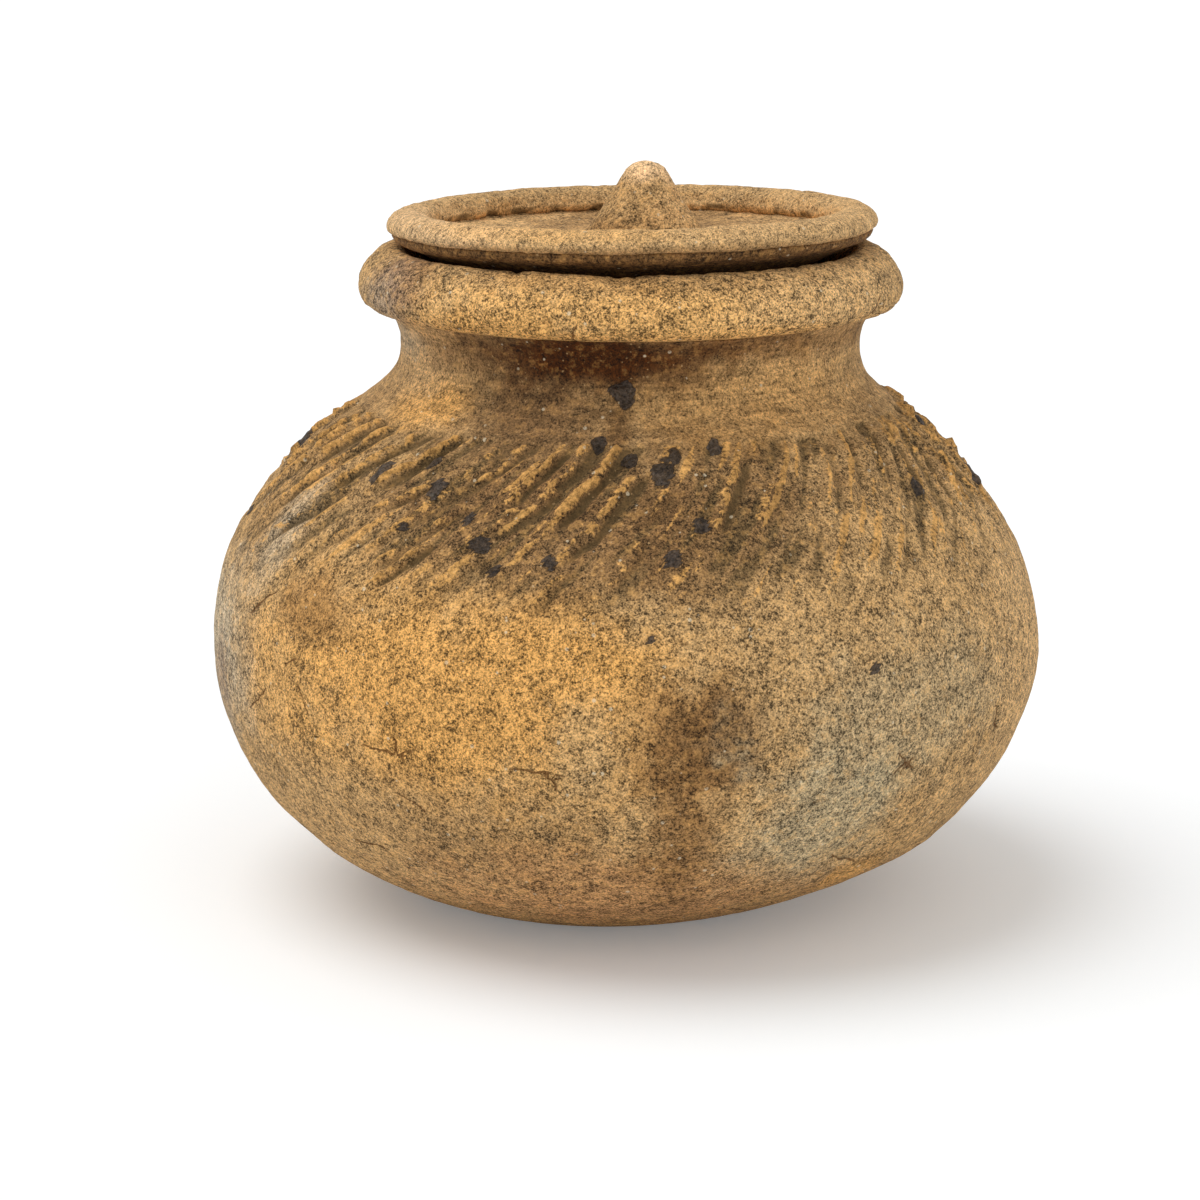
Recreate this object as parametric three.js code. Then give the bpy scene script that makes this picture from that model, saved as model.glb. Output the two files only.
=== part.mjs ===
// Squat globular earthenware jar with a short collar, a thick rolled rim and a loose saucer lid.
//
// Millimetres, +Z up, origin at the middle of the flat spot that the jar stands on. The jar and the
// lid are each built the way a potter builds them, from clay members formed one by one and luted
// together: a base pad, a paddled wall, a wiped collar and a rolled lip for the jar, and a dish, a
// rolled edge and a cone knob for the lid. Every member is a solid of revolution.

import * as THREE from "three";

// Jar wall
const bellyRadius = 100; // outside, at the widest ring
const bellyHeight = 62.3; // of the widest ring over the floor
const footRadius = 38; // of the flat spot the jar stands on
const baseThickness = 9; // of clay under the middle of the cavity
const wallThickness = 7; // at the belly
const padRise = 23; // from the floor to the outer edge of the base pad
const shoulderRise = 55.5; // from the widest ring to the foot of the collar
const collarFootRadius = 70; // outside, where the wiped collar starts

// Collar
const waistRadius = 55; // outside, at the narrowest ring
const collarWall = 6.5; // thickness of the collar at its waist
const waistRise = 18; // from the foot of the collar to its waist
const collarFlareRise = 7.6; // from the waist to the crease under the rim
const creaseRadius = 58; // outside, in the crease under the rim
const collarSweep = 12; // how far the shoulder's slope carries on into the collar

// Rolled rim
const rimRadius = 64.9; // outside, at the widest ring of the roll
const rimHeight = 14.7; // from the crease to the crest
const rimBulgeRise = 4.4; // from the crease to the widest ring of the roll
const rimUndersideRise = 1.1; // how steeply the underside of the roll leaves the crease
const rimCrestRadius = 55.8; // of the highest ring of the roll
const seatRadius = 52.4; // of the middle ring of the bevel that the lid rests on
const seatDrop = 1.6; // from the crest down to that ring
const seatHalfWidth = 1.5; // of the bevel, measured across the axis
const seatAngle = THREE.MathUtils.degToRad(42); // slope of the bevel
const throatRoundRise = 3; // height of the round between bevel and bore

// Lid
const lidRadius = 58.4; // to the sharp outer edge
const lidDepth = 9.4; // from the outer edge down to the underside
const lidUndersideRadius = 44; // of the flat middle of the underside
const lidUndersideRound = 2.4; // height of the round between that middle and the cone
const floorDepth = 3.9; // from the outer edge down to the flat middle of the dish
const floorFlatRadius = 18.5; // of that flat middle, which carries the knob
const floorEdgeDepth = 1.8; // from the outer edge down to the floor where it meets the roll
const ledgeDepth = 1.2; // from the outer edge down to the ledge under the roll
const rollWidth = 10.2; // of the rolled edge, across the axis
const rollHeight = 4.3; // from the outer edge up to the crest of the roll

// Knob
const knobRadius = 15; // at its foot
const knobHeight = 18.5; // from its foot to its tip
const knobFootRise = 3; // height of the flare at the foot
const knobNeckRadius = 12.3; // on top of the flare
const knobTipRadius = 6; // where the cone rounds into its tip
const knobTipRise = 4.6; // height of the rounded tip
const knobOffset = 3; // sideways from the middle of the lid, stuck on by eye

// Clearances
const luteGap = 0.3; // between two members that slip joins
const seatGap = 0.3; // between the lid and its seat

// Facets
const turnSteps = 48; // round the axis
const wallSteps = 9; // along each long stretch of wall
const roundSteps = 5; // along each short round

// Heights that follow from the sizes above
const collarFootHeight = bellyHeight + shoulderRise;
const waistHeight = collarFootHeight + waistRise;
const creaseHeight = waistHeight + collarFlareRise;
const rimCrestHeight = creaseHeight + rimHeight;
const seatHeight = rimCrestHeight - seatDrop;
const boreRadius = waistRadius - collarWall;
const seatSlope = Math.tan(seatAngle);
const lidEdgeHeight = seatHeight + seatGap / Math.cos(seatAngle) + (lidRadius - seatRadius) * seatSlope;

// Ellipses of the wall. Each has its middle on the axis at the height of the widest ring.

/** Half-height of the ellipse of the given radius that passes through a ring away from its middle. */
function riseThrough(radius, ringRadius, ringRise) {
  return ringRise / Math.sqrt(1 - (ringRadius / radius) ** 2);
}

const outerBelow = { radius: bellyRadius, rise: riseThrough(bellyRadius, footRadius, bellyHeight) };
const outerAbove = { radius: bellyRadius, rise: riseThrough(bellyRadius, collarFootRadius, shoulderRise) };

/** Outward normal of an ellipse of the wall at a height. */
function normalAt(ellipse, height) {
  const across = ringRadiusAt(ellipse, height) / ellipse.radius ** 2;
  const along = (height - bellyHeight) / ellipse.rise ** 2;
  return new THREE.Vector2(across, along).normalize();
}

/** Radius of an ellipse of the wall at a height. */
function ringRadiusAt(ellipse, height) {
  return ellipse.radius * Math.sqrt(1 - ((height - bellyHeight) / ellipse.rise) ** 2);
}

const collarFootNormal = normalAt(outerAbove, collarFootHeight);
const innerCollarFoot = new THREE.Vector2(
  collarFootRadius - wallThickness * collarFootNormal.x,
  collarFootHeight - wallThickness * collarFootNormal.y,
);
const innerRadius = bellyRadius - wallThickness;
const innerBelow = { radius: innerRadius, rise: bellyHeight - baseThickness };
const innerAbove = {
  radius: innerRadius,
  rise: riseThrough(innerRadius, innerCollarFoot.x, innerCollarFoot.y - bellyHeight),
};

/** Points along an ellipse of the wall from one height to another, evenly spaced in angle. */
function wallPoints(ellipse, fromHeight, toHeight) {
  const start = Math.asin((fromHeight - bellyHeight) / ellipse.rise);
  const end = Math.asin((toHeight - bellyHeight) / ellipse.rise);
  const points = [];
  for (let i = 0; i <= wallSteps; i += 1) {
    const angle = start + ((end - start) * i) / wallSteps;
    const across = ellipse.radius * Math.cos(angle);
    points.push(new THREE.Vector2(across, bellyHeight + ellipse.rise * Math.sin(angle)));
  }
  return points;
}

/** Heights of the outer and the inner edge of a lute face cut square through the wall. */
function luteFace(outer, outerHeight) {
  const normal = normalAt(outer, outerHeight);
  return { outerHeight, innerHeight: outerHeight - wallThickness * normal.y };
}

/** The same lute face, moved along the wall by the gap that the slip fills. */
function acrossGap(outer, face) {
  const shift = luteGap / normalAt(outer, face.outerHeight).x;
  return { outerHeight: face.outerHeight + shift, innerHeight: face.innerHeight + shift };
}

// Lute faces, each where one member of the jar ends
const padFace = luteFace(outerBelow, padRise);
const wallFootFace = acrossGap(outerBelow, padFace);
const collarFootFace = { outerHeight: collarFootHeight, innerHeight: innerCollarFoot.y };
const wallTopShift = luteGap / collarFootNormal.x;
const wallTopFace = {
  outerHeight: collarFootFace.outerHeight - wallTopShift,
  innerHeight: collarFootFace.innerHeight - wallTopShift,
};

/** Turns a profile of radius and height into a closed solid round the Z axis. */
function revolve(points) {
  const geometry = new THREE.LatheGeometry(points, turnSteps);
  geometry.rotateX(Math.PI / 2);
  return geometry;
}

/** A clay finish: colour as seen in the light, roughness near one, no metal. */
function clay(colour, roughness) {
  return new THREE.MeshStandardMaterial({ color: colour, roughness, metalness: 0 });
}

function namedMesh(name, points, material) {
  const mesh = new THREE.Mesh(revolve(points), material);
  mesh.name = name;
  return mesh;
}

/** Rounded bottom pad, flat outside where the jar stands. */
function basePad() {
  const outside = wallPoints(outerBelow, 0, padFace.outerHeight);
  const inside = wallPoints(innerBelow, padFace.innerHeight, baseThickness);
  return [new THREE.Vector2(0, 0), ...outside, ...inside];
}

/** Bulging wall from the base pad to the collar, one stretch below the widest ring and one above. */
function paddledWall() {
  const outside = [
    ...wallPoints(outerBelow, wallFootFace.outerHeight, bellyHeight),
    ...wallPoints(outerAbove, bellyHeight, wallTopFace.outerHeight).slice(1),
  ];
  const inside = [
    ...wallPoints(innerAbove, wallTopFace.innerHeight, bellyHeight),
    ...wallPoints(innerBelow, bellyHeight, wallFootFace.innerHeight).slice(1),
  ];
  return [...outside, ...inside, outside[0].clone()];
}

/** Short collar: it leaves the shoulder at the shoulder's own slope and turns up to the waist. */
function wipedCollar() {
  const slope = new THREE.Vector2(-collarFootNormal.y, collarFootNormal.x);
  const outerSweep = new THREE.Vector2(collarFootRadius, collarFootHeight).addScaledVector(slope, collarSweep);
  const innerSweep = innerCollarFoot.clone().addScaledVector(slope, collarSweep);
  const halfWaist = waistRise / 2;
  const path = new THREE.Path();
  path.moveTo(collarFootRadius, collarFootHeight);
  path.bezierCurveTo(
    outerSweep.x, outerSweep.y, waistRadius, waistHeight - halfWaist, waistRadius, waistHeight,
  );
  path.quadraticCurveTo(waistRadius, waistHeight + collarFlareRise / 2, creaseRadius, creaseHeight);
  path.lineTo(boreRadius, creaseHeight);
  path.lineTo(boreRadius, waistHeight);
  path.bezierCurveTo(
    boreRadius, waistHeight - halfWaist, innerSweep.x, innerSweep.y, innerCollarFoot.x, innerCollarFoot.y,
  );
  path.lineTo(collarFootRadius, collarFootHeight);
  return path.getPoints(roundSteps);
}

/** Lip rolled outwards, with the bevel that the lid rests on at its inner side. */
function rolledRim() {
  const foot = creaseHeight + luteGap;
  const bulgeHeight = creaseHeight + rimBulgeRise;
  const seatLine = (radius) => seatHeight + (radius - seatRadius) * seatSlope;
  const seatTop = seatRadius + seatHalfWidth;
  const seatFoot = seatRadius - seatHalfWidth;
  const path = new THREE.Path();
  path.moveTo(boreRadius, foot);
  path.lineTo(creaseRadius, foot);
  path.quadraticCurveTo(rimRadius, foot + rimUndersideRise, rimRadius, bulgeHeight);
  path.absellipse(
    rimCrestRadius, bulgeHeight, rimRadius - rimCrestRadius, rimCrestHeight - bulgeHeight, 0, Math.PI / 2,
  );
  path.quadraticCurveTo(
    seatRadius + seatDrop / seatSlope, rimCrestHeight, seatTop, seatLine(seatTop),
  );
  path.lineTo(seatFoot, seatLine(seatFoot));
  path.quadraticCurveTo(
    boreRadius, seatLine(boreRadius), boreRadius, seatLine(boreRadius) - throatRoundRise,
  );
  path.lineTo(boreRadius, foot);
  return path.getPoints(roundSteps);
}

// The lid's members are drawn in the lid's own frame, with its outer edge at height zero.

/** Radius of the lid's underside cone at a depth under its outer edge. */
function coneRadius(depth) {
  return lidRadius - depth / seatSlope;
}

/** Saucer with a flat-bottomed floor and an underside cone that rests on the rim's bevel. */
function lidDish() {
  const roundDepth = lidDepth - lidUndersideRound;
  const rollInnerRadius = lidRadius - rollWidth;
  const path = new THREE.Path();
  path.moveTo(0, -lidDepth);
  path.lineTo(lidUndersideRadius, -lidDepth);
  path.quadraticCurveTo(coneRadius(lidDepth), -lidDepth, coneRadius(roundDepth), -roundDepth);
  path.lineTo(coneRadius(ledgeDepth), -ledgeDepth);
  path.lineTo(rollInnerRadius, -ledgeDepth);
  path.lineTo(rollInnerRadius, -floorEdgeDepth);
  path.quadraticCurveTo(
    (rollInnerRadius + floorFlatRadius) / 2, -floorDepth, floorFlatRadius, -floorDepth,
  );
  path.lineTo(0, -floorDepth);
  return path.getPoints(roundSteps);
}

/** Edge rolled over inwards on the ledge of the dish, with a sharp outer edge. */
function lidRoll() {
  const footDepth = ledgeDepth - luteGap;
  const crestRadius = lidRadius - rollWidth / 2;
  const path = new THREE.Path();
  path.moveTo(crestRadius - rollWidth / 2, -footDepth);
  path.lineTo(coneRadius(footDepth), -footDepth);
  path.lineTo(lidRadius, 0);
  path.absellipse(crestRadius, 0, rollWidth / 2, rollHeight, 0, Math.PI);
  path.lineTo(crestRadius - rollWidth / 2, -footDepth);
  return path.getPoints(roundSteps);
}

/** Cone handle with a flared foot and a rounded tip, its foot at height zero. */
function knobCone() {
  const tipFoot = knobHeight - knobTipRise;
  const coneLean = (knobNeckRadius - knobTipRadius) / (tipFoot - knobFootRise);
  const path = new THREE.Path();
  path.moveTo(0, 0);
  path.lineTo(knobRadius, 0);
  path.quadraticCurveTo((knobRadius + knobNeckRadius) / 2, knobFootRise / 2, knobNeckRadius, knobFootRise);
  path.lineTo(knobTipRadius, tipFoot);
  path.quadraticCurveTo(knobTipRadius - knobTipRise * coneLean, knobHeight, 0, knobHeight);
  return path.getPoints(roundSteps);
}

function jar() {
  const group = new THREE.Group();
  group.add(
    namedMesh("jar_base", basePad(), clay(0x8f6238, 0.95)),
    namedMesh("jar_body", paddledWall(), clay(0x9b6b3b, 0.95)),
    namedMesh("jar_neck", wipedCollar(), clay(0x85593a, 0.9)),
    namedMesh("jar_rim", rolledRim(), clay(0xa3763f, 0.95)),
  );
  return group;
}

function lid() {
  const group = new THREE.Group();
  const knob = namedMesh("lid_knob", knobCone(), clay(0xa57b4c, 0.95));
  knob.position.set(knobOffset, 0, luteGap - floorDepth);
  group.add(
    namedMesh("lid_dish", lidDish(), clay(0x9a7143, 0.9)),
    namedMesh("lid_rim", lidRoll(), clay(0xb38c56, 0.95)),
    knob,
  );
  group.position.z = lidEdgeHeight;
  return group;
}

const liddedJar = new THREE.Group();
liddedJar.add(jar(), lid());

export default liddedJar;
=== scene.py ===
"""Looks of a hand-built, lidded earthenware jar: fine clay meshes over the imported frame."""

import logging
import math
from dataclasses import dataclass, field
from enum import Enum
from functools import cached_property
from typing import Any, Callable, Optional, Sequence

import bpy
import numpy as np
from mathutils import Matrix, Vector


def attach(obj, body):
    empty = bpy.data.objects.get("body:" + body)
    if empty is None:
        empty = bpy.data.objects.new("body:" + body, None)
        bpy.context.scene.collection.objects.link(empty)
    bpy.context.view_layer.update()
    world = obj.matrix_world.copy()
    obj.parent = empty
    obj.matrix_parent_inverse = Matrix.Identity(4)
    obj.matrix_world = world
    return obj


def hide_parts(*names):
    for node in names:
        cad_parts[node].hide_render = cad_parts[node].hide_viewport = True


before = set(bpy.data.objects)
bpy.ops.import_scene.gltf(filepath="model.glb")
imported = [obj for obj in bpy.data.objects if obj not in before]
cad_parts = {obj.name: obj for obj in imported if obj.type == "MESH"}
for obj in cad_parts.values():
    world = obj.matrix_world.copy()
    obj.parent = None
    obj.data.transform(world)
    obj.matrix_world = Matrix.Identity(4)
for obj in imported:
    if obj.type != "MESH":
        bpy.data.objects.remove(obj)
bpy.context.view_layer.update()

LOG = logging.getLogger("jar")
MM = 0.001
SEED = 41
COLUMNS = 720
EVEN = (1, 1, 1)
Array = np.ndarray
Point = tuple[float, float]
Triple = tuple[float, float, float]
Crack = Sequence[Point]


class Tone(Enum):
    """Fired clay colours, and a few colours of painted shade, as sRGB from 0 to 255."""

    TAN = (182, 146, 98)
    ORANGE = (206, 154, 86)
    AMBER = (222, 168, 96)
    BROWN = (128, 97, 62)
    UMBER = (104, 74, 42)
    STAIN = (132, 96, 56)
    ASH = (172, 154, 120)
    STONE = (184, 166, 138)
    RUST = (168, 104, 62)
    # These two dark browns also lay painted shade under the rim
    DARK_BROWN_AND_RIM_SHADE = (96, 58, 24)
    RIM_SHADE_AND_DARK_CLAY = (74, 38, 8)
    # Painted shade in grooves and hollows
    GROOVE_SHADE = (92, 74, 46)
    SLAG = (40, 33, 28)
    SLATE = (62, 54, 48)
    SAND = (202, 164, 114)
    PEACH = (226, 188, 142)
    GRIT = (236, 220, 188)
    PLUM = (112, 84, 72)

    def linear(self) -> Array:
        """The colour as linear light from 0 to 1, by the sRGB curve."""
        share = np.array(self.value) / 255.0
        return np.where(share <= 0.04045, share / 12.92, ((share + 0.055) / 1.055) ** 2.4)

    def rgba(self) -> tuple[float, ...]:
        """The linear colour with full alpha, for a colour socket."""
        return (*map(float, self.linear()), 1.0)


def smooth(low: float, high: float, value: Array) -> Array:
    """Soft step: 0 below low, 1 above high and a smooth change between them."""
    share = np.clip((value - low) / (high - low), 0, 1)
    return share * share * (3 - 2 * share)


def hump(off: Array, width: Array | float) -> Array:
    """Bell curve: 1 at no offset, fading over a width."""
    return np.exp(-(off / width) ** 2)


class Lumps:
    """Seeded gradient noise in space, for lumps, dents and ragged edges."""

    CELLS = 512
    GAIN = 1.6
    OCTAVE_SHIFT = 37.0

    def __init__(self, seed: int) -> None:
        """Draws the lattice.

        Args:
            seed: Seed of the random draws.
        """
        draw = np.random.default_rng(seed)
        self.order = draw.permutation(self.CELLS)
        slopes = draw.normal(size=(self.CELLS, 3))
        self.slopes = slopes / np.linalg.norm(slopes, axis=1)[:, None]

    def rough(self, points: Array, size: float, octaves: int = 1) -> Array:
        """Octaves of noise, each half as wide and half as high as the one before.

        Args:
            points: N by 3 points, in mm.
            size: Width of the widest lumps, in mm.
            octaves: Number of octaves.

        Returns:
            N values, about -1 to 1.
        """
        total = np.zeros(len(points))
        last = self.CELLS - 1
        for octave in range(octaves):
            place = (points + self.OCTAVE_SHIFT * octave) / (size / 2 ** octave)
            cell = np.floor(place).astype(int)
            part = place - cell
            ease = part * part * (3 - 2 * part)
            wave = np.zeros(len(points))
            for step in np.ndindex(2, 2, 2):
                key = np.zeros(len(points), dtype=int)
                for axis in (cell + step).T:
                    key = self.order[(key + axis) & last]
                rise = np.einsum("ij,ij->i", self.slopes[key], part - step)
                wave += np.prod(np.where(step, ease, 1 - ease), axis=1) * rise
            total += wave * self.GAIN / 2 ** octave
        return total


@dataclass(frozen=True)
class Cloud:
    """A patch of another colour, in degrees round from the front and mm up: most are clay colours, a few are
    painted shade.
    """

    turn: float
    height: float
    wide: float
    tall: float
    tone: Tone
    strength: float = 1.0
    ragged: float = 0.5


def clouds(*rows: tuple) -> tuple[Cloud, ...]:
    """Patches from rows of their values."""
    return tuple(Cloud(*row) for row in rows)


@dataclass(frozen=True)
class Ridge:
    """Clay squeezed up beside a paddle groove, from its top end to its low end."""

    turn: float
    height: float
    turn_end: float
    height_end: float
    lift: float = 1.0

    LEFT_WIDTH = 1.25
    RIGHT_WIDTH = 0.6
    GROOVE_AT = 1.9
    GROOVE_WIDTH = 1.25
    SLOPE_AT = -3.2
    SLOPE_WIDTH = 2.6
    CREST_RISE = 1.25
    GROOVE_DEPTH = 1.05
    SLOPE_RISE = 0.3


@dataclass(frozen=True)
class Blister:
    """A bubble of dark slag."""

    turn: float
    height: float
    wide: float
    rise: float = 0.9


@dataclass
class Skin:
    """What a stretch of clay surface gives: lift along the normal in mm, and paint."""

    lift: Array
    tone: Array
    marks: dict[str, Array]


@dataclass
class Spots:
    """Surface points handed to a painter, and the noise that works them."""

    turn: Array
    height: Array
    radius: Array
    place: Array
    lumps: Lumps

    CRACK_RADIUS = 97.0
    CRACK_FAR = 9.0
    CRACK_CLIP = 3.0
    DENT_REACH = 5.0
    DENT_WIDTHS = (0.8, 1.7)
    DENT_DEPTHS = (0.2, 0.75)

    def rough(self, size: float, octaves: int = 1, shift: float = 0.0, squeeze: Triple = EVEN) -> Array:
        """Noise over the points, squeezed by axis and shifted in mm."""
        return self.lumps.rough(self.place * squeeze + shift, size, octaves)

    def across(self, turn: Array | float) -> Array:
        """Distance round the wall from an angle in degrees, in mm, positive to the right."""
        return np.radians((self.turn - turn + 180) % 360 - 180) * self.radius

    def marks(self, **painted: Array | float) -> dict[str, Array]:
        """Every mask by name: those given, and nothing for the rest."""
        plain = {"crest": 0, "trench": 0, "slag": 0, "crack": self.CRACK_CLIP, "cracked": 0, "wiped": 0}
        return {key: np.zeros(len(self.turn)) + painted.get(key, bare) for key, bare in plain.items()}

    def paint(self, ground: Tone, patches: Sequence[Cloud] = ()) -> Array:
        """Lays colour patches with ragged edges on a ground colour.

        Args:
            ground: Colour where no patch lies.
            patches: Patches, laid in order.

        Returns:
            N by 3 linear colours.
        """
        colour = np.tile(ground.linear(), (len(self.turn), 1))
        ragged = 0.55 * self.rough(14.0, 3) + 0.4 * self.rough(3.2, 2, shift=200)
        for cloud in patches:
            side = self.across(cloud.turn) / cloud.wide
            rise = (self.height - cloud.height) / cloud.tall
            reach = np.sqrt(side ** 2 + rise ** 2) + cloud.ragged * ragged
            weight = (1 - smooth(0.3, 1.25, reach)) * cloud.strength
            colour += weight[:, None] * (cloud.tone.linear() - colour)
        return colour

    def ridge(self, ridges: Sequence[Ridge]) -> tuple[Array, Array, Array]:
        """Squeezed-up ridges with a groove along the right of each.

        Args:
            ridges: Ridges, as top and low ends.

        Returns:
            The lift in mm, a mask of the crests for painted highlight and a mask of the grooves for painted
            shade.
        """
        lift, crest, trench = np.zeros((3, len(self.turn)))
        wander = self.rough(9.0, 3, shift=80)
        tear = self.rough(2.4, 2, shift=160)
        broken = smooth(-0.4, 0.3, tear + 0.35 * wander)
        swell = 0.75 + 0.5 * np.clip(tear + 0.5, 0, 1)
        for ridge in ridges:
            drop = (ridge.height - self.height) / (ridge.height - ridge.height_end)
            bow = ridge.turn + (ridge.turn_end - ridge.turn) * np.clip(drop, -0.2, 1.2)
            side = self.across(bow) * 0.84 + 1.1 * wander
            along = smooth(-0.06, 0.04, drop) * (1 - smooth(0.7, 1.06, drop))
            body = hump(side, np.where(side < 0, Ridge.LEFT_WIDTH, Ridge.RIGHT_WIDTH) * swell) * along
            groove = hump(side - Ridge.GROOVE_AT, Ridge.GROOVE_WIDTH) * along
            slope = hump(side - Ridge.SLOPE_AT, Ridge.SLOPE_WIDTH) * along
            lift += ridge.lift * (Ridge.CREST_RISE * body * (0.25 + 0.75 * broken)
                                  - Ridge.GROOVE_DEPTH * groove + Ridge.SLOPE_RISE * slope)
            # Painted highlight on the raised crests, painted shade in the grooves
            crest = np.maximum(crest, ridge.lift * body * (0.2 + 0.8 * broken))
            trench = np.maximum(trench, ridge.lift * groove)
        return lift, np.clip(crest, 0, 1), np.clip(trench, 0, 1)

    def crack(self, cracks: Sequence[Crack]) -> tuple[Array, Array]:
        """Signed distance to the nearest drying crack, so that a shader can draw it thin.

        Args:
            cracks: Cracks, each a few points of (degrees round, mm up).

        Returns:
            The signed distance in mm and a mask that is 1 along the cracks.
        """
        nearest = signed = np.full(len(self.turn), self.CRACK_FAR)
        wander = 1.3 * self.rough(4.0, 2, shift=300)
        for crack in cracks:
            for start, end in zip(crack, crack[1:]):
                side = self.across(start[0])
                rise = self.height - start[1]
                run = math.radians(end[0] - start[0]) * self.CRACK_RADIUS
                climb = end[1] - start[1]
                length = math.hypot(run, climb)
                share = (side * run + rise * climb) / length ** 2
                off = (side * climb - rise * run) / length + wander
                beyond = np.maximum(np.maximum(-share, share - 1), 0) * length
                reach = np.hypot(off, beyond * 1.6)
                signed = np.where(reach < nearest, off, signed)
                nearest = np.minimum(reach, nearest)
        return np.clip(signed, -self.CRACK_CLIP, self.CRACK_CLIP), 1 - smooth(0.9, 2.2, nearest)

    def blister(self, blisters: Sequence[Blister]) -> tuple[Array, Array]:
        """Bubbly slag lumps.

        Args:
            blisters: The lumps.

        Returns:
            The lift in mm and a mask of the slag.
        """
        lift, mask = np.zeros((2, len(self.turn)))
        bubbly = self.rough(2.2, 2, shift=500)
        for blister in blisters:
            rise = (self.height - blister.height) * 1.25
            reach = np.hypot(self.across(blister.turn), rise) / (blister.wide / 2) + 0.42 * bubbly
            dome = 1 - smooth(0.35, 1.15, reach)
            lift += blister.rise * dome * (0.85 + 0.7 * bubbly)
            mask = np.maximum(mask, 1 - smooth(0.75, 1.1, reach))
        return lift, mask

    def pock(self, count: int, low: float, high: float, seed: int) -> Array:
        """Small random dents where grit fell out.

        Args:
            count: Number of dents.
            low: Lowest height of a dent, in mm.
            high: Highest height of a dent, in mm.
            seed: Seed of the random draws.

        Returns:
            The lift in mm, below 0 in the dents.
        """
        draw = np.random.default_rng(seed)
        lift = np.zeros(len(self.turn))
        ranges = ((-180, 180), (low, high), self.DENT_WIDTHS, self.DENT_DEPTHS)
        for turn, height, width, depth in zip(*[draw.uniform(*ends, count) for ends in ranges]):
            near = np.abs(self.height - height) < self.DENT_REACH
            reach = (self.across(turn)[near] ** 2 + (self.height[near] - height) ** 2) / width ** 2
            lift[near] -= depth * np.exp(-reach)
        return lift


def round_axis(turn: Array, radius: Array, height: Array) -> Array:
    """Points from angle, radius and height; the front faces -Y."""
    angle = np.radians(turn)
    return np.stack([radius * np.sin(angle), -radius * np.cos(angle), height], -1)


def measure(line: Array) -> tuple[Array, Array]:
    """Measures a section line.

    Args:
        line: (radius, height) rows, in mm.

    Returns:
        The arc length and the outward normal at each row.
    """
    arc = np.concatenate([[0], np.cumsum(np.hypot(*np.diff(line, axis=0).T))])
    slope = np.gradient(line, arc, axis=0)
    return arc, np.stack([slope[:, 1], -slope[:, 0]], 1)


def sample(at: Array, arc: Array, rows: Array) -> Array:
    """Rows read off at other arc lengths."""
    return np.stack([np.interp(at, arc, column) for column in rows.T], 1)


def oval(wide: float, middle: float, rise: float, turns: Array) -> Array:
    """Section points at angles of an ellipse, from its half width, middle height and half height."""
    return np.stack([wide * np.cos(turns), middle + rise * np.sin(turns)], 1)


@dataclass
class Stretch:
    """Part of a section line, in mm, with its row spacing and its painter."""

    line: Sequence[Point] | Array
    step: float
    painter: Callable[[Spots], Skin]
    normals: Optional[Array] = None

    def rows(self) -> tuple[Array, Array]:
        """Resamples the line at its spacing.

        Returns:
            The (radius, height) rows and their outward normals.
        """
        line = np.array(self.line, dtype=float)
        arc, normals = measure(line)
        if self.normals is not None:
            normals = self.normals
        at = np.linspace(0, arc[-1], max(2, int(math.ceil(arc[-1] / self.step)) + 1))
        out = sample(at, arc, normals)
        return sample(at, arc, line), out / np.linalg.norm(out, axis=1)[:, None]


def fill(data: Any, key: str, values: Array, kind: type = np.float32) -> None:
    """Sets one property of every item of a Blender collection."""
    data.foreach_set(key, values.astype(kind).ravel())


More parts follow.
